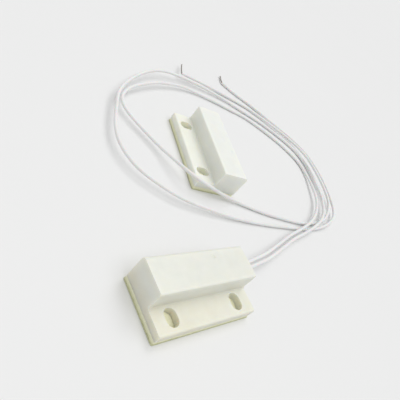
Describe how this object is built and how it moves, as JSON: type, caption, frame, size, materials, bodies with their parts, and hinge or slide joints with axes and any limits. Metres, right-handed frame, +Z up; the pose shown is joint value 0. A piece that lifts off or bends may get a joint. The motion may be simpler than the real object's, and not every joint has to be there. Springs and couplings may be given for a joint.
{
  "type": "door contact sensor",
  "caption": "Surface-mount magnetic door contact: a wired reed-switch half and a loose magnet half, each an L-shaped moulding with slotted flange on foam tape.",
  "frame": {"origin": "centre of the underside of the switch half, on the surface that both halves stand on", "axes": "+X along the switch half towards the end that the wires leave, +Y from its screw flange to its block, +Z up from the surface"},
  "size_m": [0.1012, 0.094, 0.0081],
  "materials": {
    "ivory_plastic": "satin moulded, ivory",
    "cover_plastic": "satin moulded, ivory",
    "foam_tape": "open-cell foam, pale yellow-green",
    "release_liner": "waxed paper, olive",
    "reed_glass": "clear, faint green",
    "reed_metal": "drawn nickel-iron",
    "solder": "bright tin solder",
    "copper": "bare stranded copper",
    "wire_insulation": "soft PVC, white",
    "glue": "set glue, milky",
    "tinned_copper": "tinned strands, dull",
    "magnet_ferrite": "sintered ferrite, dark grey"
  },
  "bodies": {
    "switch_half": {"switch_housing": "ivory_plastic", "switch_base_cover": "cover_plastic", "switch_foam_tape": "foam_tape", "switch_release_liner": "release_liner", "reed_glass_tube": "reed_glass", "reed_lead_left": "reed_metal", "reed_lead_right": "reed_metal", "solder_joint_left": "solder", "solder_joint_right": "solder", "conductor_left": "copper", "conductor_right": "copper", "inner_wire_a": "wire_insulation", "inner_wire_b": "wire_insulation", "exit_glue_plug": "glue", "reed_glue_left": "glue", "reed_glue_right": "glue", "wire_a": "wire_insulation", "wire_b": "wire_insulation", "wire_a_bare_end": "tinned_copper", "wire_b_bare_end": "tinned_copper"},
    "reed_blade_left": {"reed_blade_left": "reed_metal"},
    "reed_blade_right": {"reed_blade_right": "reed_metal"},
    "magnet_half": {"magnet_housing": "ivory_plastic", "magnet_base_cover": "cover_plastic", "magnet_bar": "magnet_ferrite", "magnet_glue_left": "glue", "magnet_glue_right": "glue", "magnet_foam_tape": "foam_tape", "magnet_release_liner": "release_liner"}
  },
  "joints": [
    {"name": "reed_left_flex", "type": "hinge", "parent": "switch_half", "child": "reed_blade_left", "pos_m": [-0.0052, 0.0019, 0.0043], "axis": [0, -1, 0], "range_deg": [0, 0.9], "stiffness_Nm_per_rad": 0.002},
    {"name": "reed_right_flex", "type": "hinge", "parent": "switch_half", "child": "reed_blade_right", "pos_m": [0.0052, 0.0019, 0.0047], "axis": [0, -1, 0], "range_deg": [0, 0.9], "stiffness_Nm_per_rad": 0.002},
    {"name": "magnet_travel", "type": "slide", "parent": "switch_half", "child": "magnet_half", "axis": [0.213, 0.977, 0], "range_m": [0, 0.012]}
  ],
  "couplings": [
    {"joint": "reed_right_flex", "follows": "reed_left_flex", "ratio": 1}
  ]
}
